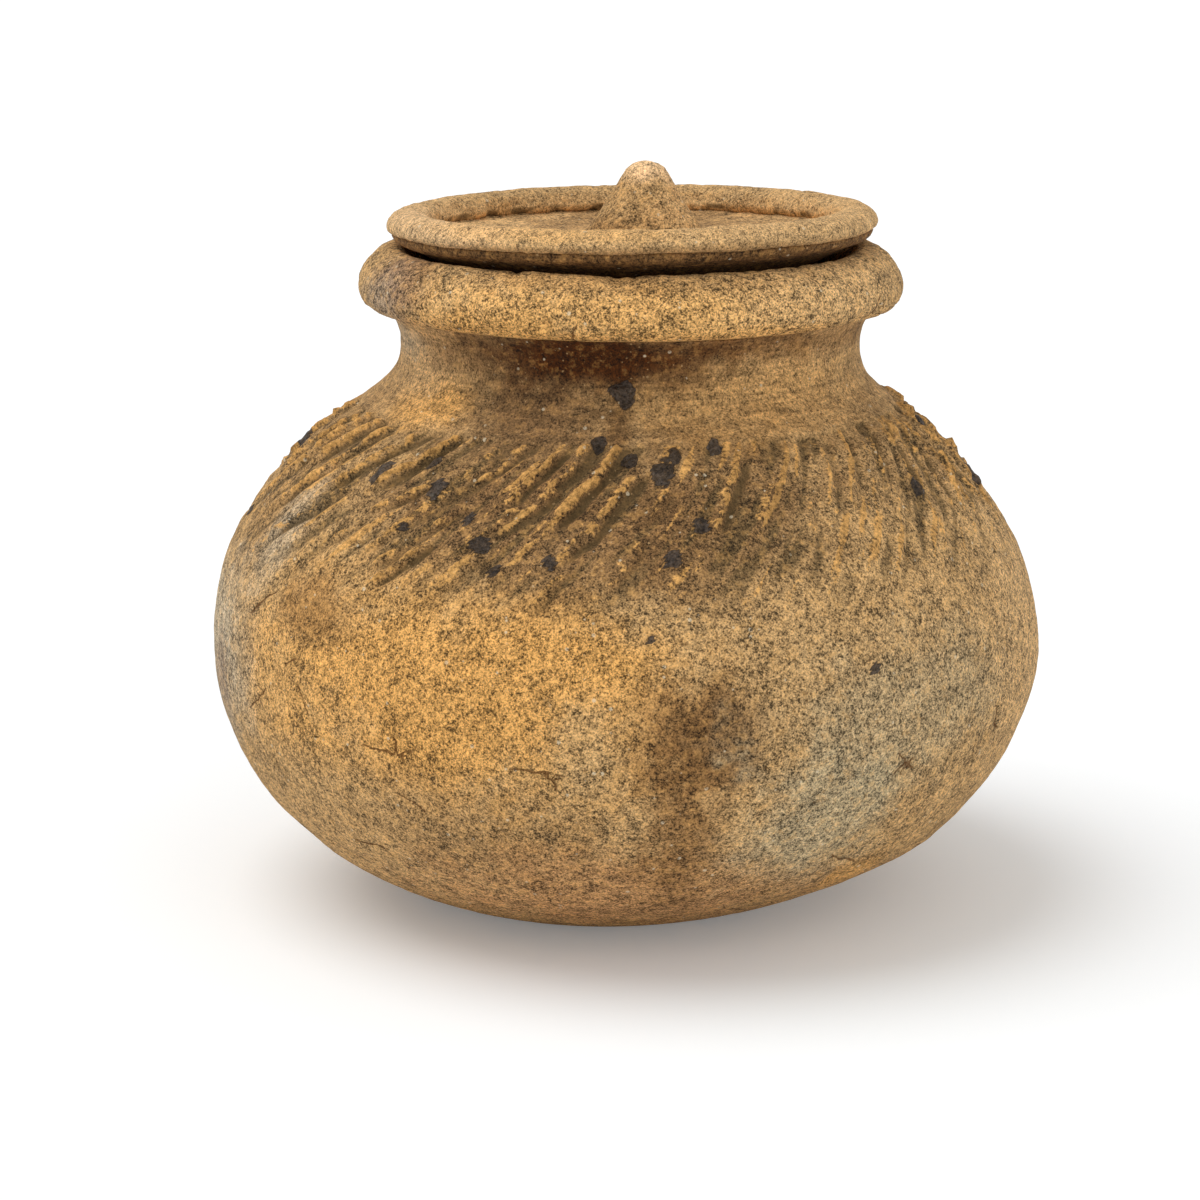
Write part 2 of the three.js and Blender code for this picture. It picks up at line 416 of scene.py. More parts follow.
@dataclass
class ClayPiece:
    """One clay member: a closed section, turned round the axis and worked by its painters."""

    name: str
    stretches: Sequence[Stretch]
    bend: Callable[[Array], Array]
    lumps: Lumps
    twist: Callable[[Array], Array] = np.zeros_like
    columns: int = COLUMNS

    def build(self) -> bpy.types.Object:
        """Works every stretch; an end row that two stretches share belongs to the earlier one.

        Returns:
            The new object, linked to the scene.
        """
        around = np.arange(self.columns) / self.columns * 360.0
        skins: list[Skin] = []
        points: list[Array] = []
        for number, stretch in enumerate(self.stretches):
            start = 1 if number else 0
            stop = -1 if number == len(self.stretches) - 1 else None
            line, out = (rows[start:stop] for rows in stretch.rows())
            turn = ((around + self.twist(line[:, 1:]) + 180) % 360 - 180).ravel()
            radius, height = np.repeat(line, self.columns, axis=0).T
            out_side, out_up = np.repeat(out, self.columns, axis=0).T
            skin = stretch.painter(Spots(turn, height, radius, round_axis(turn, radius, height), self.lumps))
            radius = np.maximum(radius + skin.lift * out_side, 0)
            points.append(round_axis(turn, radius, height + skin.lift * out_up))
            skins.append(skin)
        return self.mesh(self.bend(np.concatenate(points)) * MM, skins)

    def mesh(self, points: Array, skins: Sequence[Skin]) -> bpy.types.Object:
        """Makes the Blender mesh with its paint and its texture map.

        Args:
            points: Vertices in metres, row by row.
            skins: Paint of the stretches, in the same order.

        Returns:
            The new object.
        """
        columns = self.columns
        rows = len(points) // columns
        row, column = np.divmod(np.arange(len(points)), columns)
        row = row[:, None] + [0, 0, 1, 1]
        column = column[:, None] + [0, 1, 1, 0]
        quads = row % rows * columns + column % columns
        mesh = bpy.data.meshes.new(self.name)
        mesh.vertices.add(len(points))
        fill(mesh.vertices, "co", points)
        mesh.loops.add(quads.size)
        fill(mesh.loops, "vertex_index", quads, np.int32)
        mesh.polygons.add(len(quads))
        fill(mesh.polygons, "loop_start", np.arange(len(quads)) * 4, np.int32)
        mesh.update(calc_edges=True)
        fill(mesh.uv_layers.new(name="OFBake").data, "uv", np.stack([column / columns, row / rows], -1))
        tone = np.concatenate([skin.tone for skin in skins])
        rgba = np.concatenate([tone, np.ones((len(tone), 1))], 1)
        fill(mesh.attributes.new("tone", "FLOAT_COLOR", "POINT").data, "color", rgba)
        for key in skins[0].marks:
            values = np.concatenate([skin.marks[key] for skin in skins])
            fill(mesh.attributes.new(key, "FLOAT", "POINT").data, "value", values)
        fill(mesh.polygons, "use_smooth", np.ones(len(quads)), bool)
        mesh.validate()
        mesh.update()
        return stand(self.name, mesh)


def stand(name: str, data: bpy.types.ID) -> bpy.types.Object:
    """Puts data into the scene as an object.

    Args:
        name: Name of the object.
        data: Mesh, lamp or camera that it holds.

    Returns:
        The new object.
    """
    made = bpy.data.objects.new(name, data)
    bpy.context.scene.collection.objects.link(made)
    return made


@dataclass(frozen=True)
class Tap:
    """One output of a shader node, which can be used in sums."""

    bench: "Bench"
    node: bpy.types.Node
    out: str | int = 0

    def __add__(self, other: "Tap | float") -> "Tap":
        """Sum."""
        return self.bench.math("ADD", self, other)

    def __sub__(self, other: "Tap | float") -> "Tap":
        """Difference."""
        return self.bench.math("SUBTRACT", self, other)

    def __rsub__(self, other: float) -> "Tap":
        """Difference from a number."""
        return self.bench.math("SUBTRACT", other, self)

    def __mul__(self, other: "Tap | float") -> "Tap":
        """Product."""
        return self.bench.math("MULTIPLY", self, other)

    __radd__ = __add__
    __rmul__ = __mul__

    def of(self, out: str | int) -> "Tap":
        """Another output of the same node."""
        return Tap(self.bench, self.node, out)

    def most(self, other: "Tap | float") -> "Tap":
        """The larger of two values."""
        return self.bench.math("MAXIMUM", self, other)

    def step(self, low: float, high: float) -> "Tap":
        """Soft step from low to high, kept between 0 and 1."""
        ends = {"Value": self, "From Min": low, "From Max": high}
        return self.bench.node("MapRange", {"interpolation_type": "SMOOTHSTEP"}, ends, "Result")


class Bench:
    """A node tree and the few ways nodes are added to it."""

    def __init__(self, owner: bpy.types.Material | bpy.types.World) -> None:
        """Clears the owner's node tree.

        Args:
            owner: Material or world that the nodes belong to.
        """
        owner.use_nodes = True
        self.tree = owner.node_tree
        self.tree.nodes.clear()

    def node(self, kind: str, settings: dict[str, Any], sockets: dict[Any, Any], out: str | int = 0) -> Tap:
        """Adds a node.

        Args:
            kind: Type of the node, after its ShaderNode prefix.
            settings: Properties, set before the sockets.
            sockets: Values, tones or taps by socket name or number.
            out: Name or number of the output to go on with.

        Returns:
            That output.
        """
        node = self.tree.nodes.new("ShaderNode" + kind)
        for key, value in settings.items():
            setattr(node, key, value)
        for key, value in sockets.items():
            if isinstance(value, Tap):
                self.tree.links.new(value.node.outputs[value.out], node.inputs[key])
            else:
                node.inputs[key].default_value = value.rgba() if isinstance(value, Tone) else value
        return Tap(self, node, out)

    @cached_property
    def place(self) -> Tap:
        """The place on the object."""
        return self.node("TexCoord", {}, {}, "Object")

    def math(self, operation: str, first: Tap | float, second: Tap | float) -> Tap:
        """A Math node on two values."""
        return self.node("Math", {"operation": operation}, {0: first, 1: second})

    def vector(self, operation: str, second: Triple) -> Tap:
        """The place on the object, moved or stretched."""
        return self.node("VectorMath", {"operation": operation}, {0: self.place, 1: second})

    def painted(self, name: str, out: str = "Fac") -> Tap:
        """A mask or colour painted on the mesh."""
        return self.node("Attribute", {"attribute_name": name}, {}, out)

    def noise(self, size: float, detail: float, rough: float, place: Optional[Tap] = None) -> Tap:
        """Noise texture.

        Args:
            size: Width of one lump, in mm.
            detail: Octaves.
            rough: Strength of the finer octaves.
            place: Place to use instead of the object's own.

        Returns:
            Values about 0.5.
        """
        return self.node("TexNoise", {}, {
            "Vector": place or self.place, "Scale": 1 / (MM * size),
            "Detail": detail, "Roughness": rough}, "Fac")

    def grains(self, size: float, share: float, reach: float, shift: float) -> Tap:
        """Scattered grains.

        Args:
            size: Width of a cell, in mm.
            share: Share of the cells that hold a grain.
            reach: Largest radius of a grain, as a share of a cell.
            shift: Shift of the pattern, in metres.

        Returns:
            A mask of the grains.
        """
        moved = self.vector("ADD", (shift, shift, shift))
        cell = self.node("TexVoronoi", {}, {"Vector": moved, "Scale": 1 / (MM * size)})
        draw = self.node("SeparateColor", {}, {"Color": cell.of("Color")})
        chosen = draw.step(share + 0.01, share)
        radius = draw.of(1) * (reach * 0.6) + reach * 0.4
        return chosen * (radius - cell.of("Distance")).step(0.0, 0.12)

    def mix(self, share: Tap | float, first: Any, second: Any) -> Tap:
        """Mixes a share of a second colour into the first."""
        return self.node("Mix", {"data_type": "RGBA"}, {0: share, 6: first, 7: second}, 2)

    def scaled(self, colour: Tap, factor: Tap) -> Tap:
        """A colour times a factor."""
        return self.node("VectorMath", {"operation": "SCALE"}, {0: colour, "Scale": factor})


@dataclass(frozen=True)
class ClayFinish:
    """Unglazed low-fired clay: grain, grit, soot specks, slag, wiping marks and relief, with painted
    highlight on crests and painted shade in grooves.
    """

    name: str
    contrast: float = 1.0
    grain: float = 0.9
    pale: float = 0.1
    wiped: float = 0.0

    MOTTLE_SIZE = 7.0
    COARSER = 2.6
    FINER = 0.45
    SOOT_SHARE = 0.16
    BUMP_DEPTH = 0.0009
    BUMP_STRENGTH = 0.75
    MATT = 0.93
    SPECULAR = 0.22

    def material(self) -> bpy.types.Material:
        """Builds the node material.

        Returns:
            The finished material.
        """
        material = bpy.data.materials.new(self.name)
        bench = Bench(material)
        mottle = bench.noise(self.MOTTLE_SIZE, detail=5.0, rough=0.62)
        sandy = bench.noise(self.grain, detail=4.0, rough=0.72)
        coarse = bench.noise(self.grain * self.COARSER, detail=3.0, rough=0.7)
        dusty = bench.noise(self.grain * self.FINER, detail=2.0, rough=0.6)
        grain = sandy - 0.5
        lump = coarse - 0.5
        # The painted colour, shaded by grain of four sizes
        shade = (mottle - 0.5) * (1.6 * self.contrast) + grain * (4.6 * self.contrast)
        shade = shade + lump * (2.3 * self.contrast) + (dusty - 0.5) * (4.2 * self.contrast) + 1.07
        colour = bench.scaled(bench.painted("tone", "Color"), bench.math("MINIMUM", shade.most(0.17), 2.3))
        warmth = coarse.step(0.52, 0.64) * (0.5 * self.contrast)
        colour = bench.mix(warmth, colour, bench.mix(0.5, colour, Tone.AMBER))
        # Painted highlight on the torn crests and painted shade in the hollows along the ridges
        ragged = (bench.painted("crest") + grain * 1.6 + lump * 1.2).step(0.28, 0.66)
        highlight_colour = bench.mix(coarse.step(0.42, 0.6), Tone.ORANGE, Tone.AMBER)
        glint = (grain * 3.4 + (mottle - 0.5) * 1.6 + 0.95).most(0.3)
        colour = bench.mix(ragged * 0.8, colour, bench.scaled(highlight_colour, glint))
        shade_in_grooves = (bench.painted("trench") + grain * 0.5).step(0.25, 0.9)
        colour = bench.mix(shade_in_grooves * 0.75, colour, Tone.GROOVE_SHADE)
        # Pale dust, soot specks and pale grits
        pale = bench.grains(1.9, self.pale, reach=0.32, shift=0.31) * (dusty + sandy - 0.5).step(0.3, 0.5)
        dust = bench.grains(0.95, self.pale * 2.0, reach=0.4, shift=0.77) * sandy.step(0.42, 0.55)
        soot = bench.grains(1.1, self.SOOT_SHARE, reach=0.4, shift=0.53)
        colour = bench.mix(dust * 0.55, colour, Tone.SAND)
        colour = bench.mix(soot * 0.62, colour, Tone.UMBER)
        colour = bench.mix(pale * 0.62, colour, Tone.GRIT)
        # Bubbly slag
        slag = (bench.painted("slag") + grain * 0.8 + lump * 1.2).step(0.42, 0.62)
        bubbles = bench.noise(0.8, detail=2.0, rough=0.5)
        sheen = ((bubbles - 0.5) * 6.0 + grain * 2.0 + 1.25).most(0.35)
        glassy = bench.mix(mottle.step(0.4, 0.6), Tone.SLAG, Tone.SLATE)
        colour = bench.mix(slag * 0.9, colour, bench.scaled(glassy, sheen))
        # Thin dark cracks
        gap = bench.math("ABSOLUTE", bench.painted("crack") + grain * 0.5, 0.0)
        crack = (0.34 - gap).step(0.0, 0.2) * bench.painted("cracked")
        colour = bench.mix(crack * 0.75, colour, Tone.DARK_BROWN_AND_RIM_SHADE)
        # Wiping marks that run round the jar
        streak = bench.noise(1.6, detail=3.0, rough=0.6, place=bench.vector("MULTIPLY", (0.12, 0.12, 1.6)))
        wipe = bench.painted("wiped")
        colour = bench.scaled(colour, (streak - 0.5) * wipe * (0.9 * self.wiped) + 1.0)
        height = sandy * 0.5 + coarse * 0.8 + pale * 0.12 - soot * 0.25 - crack * 0.9
        height = height + streak * wipe * (0.5 * self.wiped) + slag * bubbles * 2.2
        relief = {"Strength": self.BUMP_STRENGTH, "Distance": self.BUMP_DEPTH, "Height": height}
        shader = bench.node("BsdfPrincipled", {}, {
            "Base Color": colour, "Roughness": self.MATT - slag * 0.45 - wipe * 0.06,
            "Normal": bench.node("Bump", {}, relief), "Specular IOR Level": self.SPECULAR})
        bench.node("OutputMaterial", {}, {"Surface": shader})
        return material


@dataclass
class Jar:
    """The jar: base pad, paddled body, wiped neck and rolled rim. Sizes in mm."""

    belly_radius: float = 100.0
    belly_height: float = 62.3
    foot_radius: float = 38.0
    foot_height: float = 0.2
    shoulder_rise: float = 55.5
    collar_foot: float = 70.0
    neck_foot: float = 117.6
    waist_radius: float = 55.0
    waist_height: float = 135.8
    crease_radius: float = 58.0
    crease_height: float = 143.4
    bore: float = 48.5
    inner_radius: float = 93.0
    inner_drop: float = 53.3
    inner_rise: float = 70.3
    pad_height: float = 23.3
    pad_inner: Point = (72.5, 28.9)
    collar_inner: Point = (65.5, 112.3)
    start_line: float = 120.9
    top_line: float = 121.0
    rim_lap: float = 0.05
    lumps: Lumps = field(default_factory=lambda: Lumps(SEED))

    LEAN_HEIGHTS = (0.0, 8.0, 20.0, 62.0, 90.0, 112.0, 130.0, 150.0)
    LEAN_SHIFTS = (-5.5, -3.8, -1.0, 0.0, -0.9, -0.8, 0.9, 0.8)
    SWELL_HEIGHTS = (0.0, 8.0, 18.0, 30.0, 45.0, 86.0, 98.0, 108.0, 116.0, 124.0)
    SWELLS = (0.0, 0.8, 2.0, 0.9, 0.0, 0.0, -0.8, -1.5, -1.1, 0.0)
    OUT_OF_ROUND = 0.007
    SLANT = 0.62
    SLANT_LOW = 72.0
    SEAM_STEP = 4.0
    # Stretches that reach this height take the neck's patches too
    NECK_REACH = 100.0
    # Degrees round between which the ridges are drawn at random
    HIDDEN = (85.0, 270.0)
    # Ridges in view: degrees and height of the top end, then of the low end, and lift
    RIDGES = (
        (-7.6, 121, -13, 111, 1), (-12.4, 112, -20.5, 103, 0.9), (-1.4, 121, -13.5, 103.5, 1.1),
        (1.8, 115.5, -11.5, 97, 1), (-13.2, 119.5, -20.5, 108, 0.9), (-20.5, 120.5, -31.5, 108.5, 0.8),
        (-25, 120, -43.5, 94, 0.65), (-36.5, 121, -48.5, 107.5, 1.1), (-46, 120.5, -60.5, 106, 1),
        (-35, 112.5, -44.5, 104.5, 0.8), (-45.5, 103.5, -54, 93, 0.6), (-28.5, 107.5, -41.5, 91, 0.7),
        (-31, 100.5, -39, 90, 0.9), (-21, 101, -28, 90, 0.6), (-8.5, 97, -15, 86, 0.6),
        (-62, 121, -71, 109, 1.1), (-56.5, 120, -74.5, 97, 0.9), (-69, 121, -79, 105, 1),
        (-54, 108, -67, 94, 0.7), (-76, 120, -86, 104, 1), (20.5, 117, 13.5, 104, 1),
        (7, 113, 1.5, 104, 0.5), (26.5, 113, 20.5, 103, 0.55), (3, 105, -5.5, 88, 0.5),
        (40.5, 119, 34.5, 102, 0.6), (47.5, 119, 41, 107, 0.55), (55.5, 119, 50.5, 108, 0.7),
        (62.5, 119, 56.5, 102, 0.9), (68.5, 119, 64, 99, 0.9), (74, 119, 70, 97, 1),
        (80, 119, 76, 97, 0.9), (13, 110, 6, 96, 0.45), (33, 112, 28, 99, 0.4),
        (-17.5, 109, -27, 97.5, 0.55))
    # Slag in view: degrees, height, width and, where it isn't the usual one, rise
    BLISTERS = (
        (-2.6, 131.8, 6.4, 1.3), (-1.2, 129.2, 4, 1), (-47, 113.2, 4.2), (-48, 111, 3),
        (-37.5, 116.2, 3.4), (-33.2, 111.2, 5.2), (-25.3, 106.6, 3.8), (-22, 101.6, 4.6), (-10.7, 98.9, 3.6),
        (-19, 97, 2.8), (0.2, 118.6, 3.8), (-6, 121.4, 3.4), (6.6, 116.2, 6.2), (8.8, 119.2, 3.8),
        (11.8, 106.2, 4), (7, 99.6, 4.4), (57.5, 107.4, 4.8), (17.2, 120.2, 3.6), (3.2, 84, 2.6),
        (33.8, 74.5, 3, 0.4), (-36, 103, 2.6, 0.3))
    BLISTERS_BEHIND = 22
    CRACKS = (
        ((-36, 56.2), (-33, 55.2), (-29, 56.4)), ((-14.5, 55.4), (-11.5, 54.8), (-9.6, 51.2)),
        ((-11.5, 54.8), (-8.8, 53.6)), ((-31.5, 59), (-30.4, 54.6)), ((-48.2, 66), (-46.8, 60.4)),
        ((-61, 57), (-56.5, 61.6)), ((-31.5, 45), (-28.6, 42.4)), ((38, 52.8), (40.6, 49)),
        ((40.6, 51), (38.2, 48.8)), ((32.8, 27.8), (37.4, 24.8)), ((-44, 28.6), (-39.8, 28.2)),
        ((-51, 70.6), (-49, 72.4)), ((-62, 79), (-57.6, 85)), ((59, 57), (61, 52)),
        ((140, 60), (146, 57), (150, 61)), ((-130, 44), (-124, 50)))
    RIM_CRACKS = (((-12.5, 143.9), (-12.0, 147.0)), ((58, 146), (61, 149)))
    CLOUDS = clouds(
        (-25, 70, 62, 30, Tone.ORANGE, 0.95), (-50, 66, 22, 16, Tone.AMBER, 0.35),
        (-10, 80, 26, 13, Tone.ORANGE, 0.9), (-45, 32, 50, 20, Tone.TAN, 0.8),
        (0, 20, 60, 16, Tone.RUST, 0.32), (-20, 36, 42, 16, Tone.STAIN, 0.3),
        (-8, 108, 66, 21, Tone.BROWN, 0.95, 0.35), (-20, 112, 34, 14, Tone.UMBER, 0.4),
        (12, 104, 32, 18, Tone.UMBER, 0.45), (-72, 108, 30, 22, Tone.STAIN, 0.45),
        (-47, 84, 16, 9, Tone.STAIN, 0.65), (-76, 66, 26, 22, Tone.STONE, 0.95),
        (-74, 60, 10, 12, Tone.PLUM, 0.45), (-62, 96, 9, 14, Tone.STONE, 0.6),
        (9, 62, 18, 17, Tone.STAIN, 0.95, 0.7), (8, 40, 12, 22, Tone.STAIN, 0.85, 0.7),
        (11, 60, 11, 12, Tone.UMBER, 0.6, 0.9), (28, 40, 26, 20, Tone.ASH, 0.85, 0.6),
        (40, 62, 44, 22, Tone.ASH, 0.55, 0.6), (26, 90, 24, 10, Tone.TAN, 0.4),
        (42, 20, 10, 6, Tone.ORANGE, 0.6), (74, 66, 30, 40, Tone.SAND, 0.85),
        (60, 112, 34, 12, Tone.BROWN, 0.4), (-6, 60, 9, 14, Tone.ASH, 0.35, 0.9),
        (120, 80, 46, 26, Tone.ORANGE, 0.8), (160, 50, 40, 26, Tone.STAIN, 0.7),
        (-140, 70, 44, 28, Tone.ORANGE, 0.7), (-165, 40, 34, 20, Tone.ASH, 0.7),
        (180, 108, 90, 18, Tone.BROWN, 0.75, 0.4), (110, 110, 50, 16, Tone.BROWN, 0.6, 0.4),
        (-115, 108, 40, 18, Tone.BROWN, 0.6, 0.4), (-150, 96, 18, 14, Tone.UMBER, 0.6))
    # The darkest bands, from 138 to 142 mm just under the rim, are painted shade of the rim's overhang on
    # darker clay
    NECK_CLOUDS = clouds(
        (30, 130, 46, 12, Tone.ORANGE, 0.3), (-24, 127, 24, 8.5, Tone.BROWN, 1, 0.3),
        (-52, 126, 16, 6, Tone.AMBER, 0.8, 0.3), (-68, 134, 20, 9, Tone.SAND, 0.9),
        (-74, 138, 12, 5, Tone.STONE, 0.6), (-12, 139, 42, 10.5, Tone.RIM_SHADE_AND_DARK_CLAY, 1, 0.25),
        (28, 142, 22, 5, Tone.DARK_BROWN_AND_RIM_SHADE, 0.7, 0.5), (-2, 124, 3.5, 7, Tone.UMBER, 0.7, 0.3),
        (55, 140, 30, 5, Tone.STAIN, 0.6), (175, 138, 90, 7, Tone.DARK_BROWN_AND_RIM_SHADE, 0.6),
        (150, 126, 40, 8, Tone.ORANGE, 0.6))
    RIM_CLOUDS = clouds(
        (-62, 151, 18, 9, Tone.PLUM, 0.75), (-66, 148, 14, 8, Tone.STONE, 0.4),
        (0, 151, 60, 8, Tone.AMBER, 0.55), (50, 152, 40, 9, Tone.SAND, 0.6),
        (-30, 146, 26, 5, Tone.ORANGE, 0.6), (10, 144.6, 60, 2.4, Tone.ORANGE, 0.5),
        (0, 156.5, 60, 2.6, Tone.STAIN, 0.35), (160, 150, 60, 9, Tone.STAIN, 0.6),
        (-130, 150, 40, 9, Tone.ORANGE, 0.6))
    INNER_CLOUDS = (Cloud(40, 60, 90, 60, Tone.BROWN, 0.7),)
    BOTTOM_CLOUDS = (Cloud(20, 0, 30, 30, Tone.STAIN, 0.6),)
    RIM_OUTLINE = (
        (60.2, 143.7), (62.4, 144.3), (64, 145.6), (64.8, 147.3), (64.9, 148.8), (64.5, 151),
        (63.5, 153.2), (61.9, 155.4), (59.9, 157), (57.8, 157.9), (55.8, 158.1), (54.2, 157.6),
        (52.6, 156.3), (50.4, 154.3), (49.1, 152.9), (48.6, 151.2))
    RIM_SEAT = 149.0

    def wall(self) -> Array:
        """The outer wall: half an oval, a flatter shoulder, a collar curve and the flare to the rim.

        Returns:
            The section line from the foot to the crease under the rim.
        """
        drop = self.belly_height / math.sqrt(1 - (self.foot_radius / self.belly_radius) ** 2)
        start = math.asin((self.foot_height - self.belly_height) / drop)
        low = oval(self.belly_radius, self.belly_height, drop, np.linspace(start, 0, 90))
        rise = self.shoulder_rise / math.sqrt(1 - (self.collar_foot / self.belly_radius) ** 2)
        end = math.asin(self.shoulder_rise / rise)
        high = oval(self.belly_radius, self.belly_height, rise, np.linspace(0, end, 90)[1:])
        foot = high[-1]
        waist = np.array([self.waist_radius, self.waist_height])
        pull_low = foot + [-11.2, 6.4]
        pull_high = waist + [-0.4, -8.0]
        t = np.linspace(0, 1, 50)[1:, None]
        s = 1 - t
        collar = s ** 3 * foot + 3 * s * s * t * pull_low + 3 * s * t * t * pull_high + t ** 3 * waist
        climb = np.linspace(0, 1, 20)[1:]
        flare = self.waist_radius + (self.crease_radius - self.waist_radius) * climb * climb
        top = np.stack([flare, self.waist_height + (self.crease_height - self.waist_height) * climb], 1)
        return np.concatenate([low, high, collar, top])

    def outer(self, low: float, high: float, step: float) -> Stretch:
        """Part of the outer wall.

        Args:
            low: Lowest height, in mm.
            high: Highest height, in mm.
            step: Row spacing, in mm.

        Returns:
            The stretch between the two heights.
        """
        line = self.wall()
        arc, normals = measure(line)
        start, end = np.interp([low, high], line[:, 1], arc)
        at = np.linspace(start, end, 400)
        return Stretch(sample(at, arc, line), step, self.outside, sample(at, arc, normals))

    def seam(self, start: Array | Point, end: Array | Point) -> Stretch:
        """A straight face that is luted to the next member."""
        return Stretch([start, end], self.SEAM_STEP, self.luted)

    def twist(self, height: Array) -> Array:
        """Slant of the mesh columns along the paddle grooves, in degrees."""
        return -self.SLANT * (self.neck_foot - np.clip(height, self.SLANT_LOW, self.neck_foot))

    def bend(self, points: Array) -> Array:
        """Leans and swells the whole jar a little, as built by hand.

        Args:
            points: N by 3 points, in mm.

        Returns:
            The moved points.
        """
        moved = points.copy()
        height = points[:, 2]
        radius = np.maximum(np.hypot(points[:, 0], points[:, 1]), 1.0)
        swell = np.interp(height, self.SWELL_HEIGHTS, self.SWELLS) * smooth(30, 60, radius)
        moved[:, :2] *= (1 + swell / radius)[:, None]
        moved[:, 0] += np.interp(height, self.LEAN_HEIGHTS, self.LEAN_SHIFTS)
        slow = self.lumps.rough(points * [1, 1, 0.6] + 900, 75.0)
        push = 1 + self.OUT_OF_ROUND * slow * smooth(2, 30, height) * (1 - smooth(120, 140, height))
        moved[:, :2] *= push[:, None]
        return moved

    def ridges(self) -> list[Ridge]:
        """The paddle ridges: those in view, and the rest drawn at random.

        Returns:
            All ridges round the shoulder.
        """
        ridges = [Ridge(*row) for row in self.RIDGES]
        draw = np.random.default_rng(SEED + 1)
        turn, last = self.HIDDEN
        while turn < last:
            top = self.top_line - abs(draw.normal(0, 3.0))
            drop = draw.uniform(12, 27)
            turn_end = turn - drop * draw.uniform(0.35, 0.85)
            ridges.append(Ridge(turn, top, turn_end, top - drop, draw.uniform(0.5, 1.1)))
            turn += draw.uniform(3.6, 7.4)
        return ridges

    def blisters(self) -> list[Blister]:
        """Slag blisters: those in view, and a few behind.

        Returns:
            All blisters.
        """
        blisters = [Blister(*row) for row in self.BLISTERS]
        draw = np.random.default_rng(SEED + 2)
        for _ in range(self.BLISTERS_BEHIND):
            blisters.append(Blister(draw.uniform(85, 275), draw.uniform(94, 121), draw.uniform(2.6, 5.4)))
        return blisters

    def streaks(self, spots: Spots) -> Array:
        """Lesser ridges and hollows that run along the paddle grooves, about -1 to 1."""
        slant = np.radians(spots.turn + 0.65 * (120.0 - spots.height))
        return self.lumps.rough(
            np.stack([80 * np.sin(slant), 80 * np.cos(slant), 0.22 * spots.height], 1) + 400, 3.4, 3)

    def outside(self, spots: Spots) -> Skin:
        """Works and paints the outer wall.

        Args:
            spots: Surface points of the wall.

        Returns:
            Its lift and paint.
        """
        height = spots.height
        patches = self.CLOUDS + (self.NECK_CLOUDS if height.max() > self.NECK_REACH else ())
        tone = spots.paint(Tone.TAN, patches)
        ridge_lift, crest, trench = spots.ridge(self.ridges())
        above = height - self.start_line - 0.5 * spots.rough(22.0, shift=40)
        below = 1 - smooth(-0.25, 0.25, above)
        slag_lift, slag = spots.blister(self.blisters())
        crack, cracked = spots.crack(self.CRACKS)
        beaten = smooth(84, 100, height) * below
        off_foot = smooth(1, 6, height)
        streaks = self.streaks(spots)
        lift = ridge_lift * below + slag_lift
        lift += beaten * (0.3 * spots.rough(6.5, 3, shift=60, squeeze=(1, 1, 0.8)) + 0.55 * streaks - 0.4)
        lift += 0.3 * spots.rough(17.0, shift=11) * smooth(3, 20, height)
        lift += 0.1 * spots.rough(3.0, 2) * (0.3 + 0.7 * below) * off_foot
        lift += spots.pock(420, 8.0, 112.0, SEED + 3) - 0.5 * cracked * hump(crack, 0.8)
        wiped = np.maximum(smooth(-0.5, 1.0, above), 0.45 * (1 - smooth(14, 34, height)))
        lift += 0.07 * spots.rough(1.7, shift=700, squeeze=(0.05, 0.05, 1)) * wiped * off_foot
        # Painted shade in the hollows of the streaks, painted highlight on their tops
        hollow_shade = beaten * smooth(0.05, 0.45, -streaks)
        tone += (0.75 * hollow_shade)[:, None] * (Tone.GROOVE_SHADE.linear() - tone)
        crest = np.maximum(crest, 0.75 * beaten * smooth(0.28, 0.6, streaks))
        crest *= below
        trench *= below
        return Skin(lift, tone, spots.marks(
            crest=crest, trench=trench, slag=slag, crack=crack, cracked=cracked, wiped=wiped))

    def inside(self, spots: Spots) -> Skin:
        """Works and paints the inner wall, smoothed with wet fingers."""
        lift = 0.3 * spots.rough(5.0, shift=50, squeeze=(0.08, 0.08, 1)) + 0.25 * spots.rough(16.0)
        return Skin(lift, spots.paint(Tone.STAIN, self.INNER_CLOUDS), spots.marks(wiped=0.6))

    def luted(self, spots: Spots) -> Skin:
        """Hidden faces where members are luted together."""
        return Skin(np.zeros(len(spots.turn)), spots.paint(Tone.BROWN), spots.marks())

    def bottom(self, spots: Spots) -> Skin:
        """The flat spot that the jar stands on."""
        lift = -0.25 * np.abs(spots.rough(9.0, 3)) * smooth(0.5, 4.0, spots.radius)
        return Skin(lift, spots.paint(Tone.TAN, self.BOTTOM_CLOUDS), spots.marks())

    def lip(self, spots: Spots) -> Skin:
        """Works and paints the rolled rim.

        Args:
            spots: Surface points of the rim.

        Returns:
            Its lift and paint.
        """
        lift = 0.16 * spots.rough(2.6, 3, shift=30) + 0.4 * spots.rough(24.0, shift=21, squeeze=(1, 1, 0.5))
        lift += 0.28 * spots.rough(8.0, shift=75) + spots.pock(170, 144.0, 158.0, SEED + 5)
        lift *= (0.35 + 0.65 * smooth(50.5, 54.0, spots.radius)) * smooth(143.4, 145.2, spots.height)
        crack, cracked = spots.crack(self.RIM_CRACKS)
        marks = spots.marks(crack=crack, cracked=cracked, wiped=0.12)
        return Skin(lift, spots.paint(Tone.TAN, self.RIM_CLOUDS), marks)

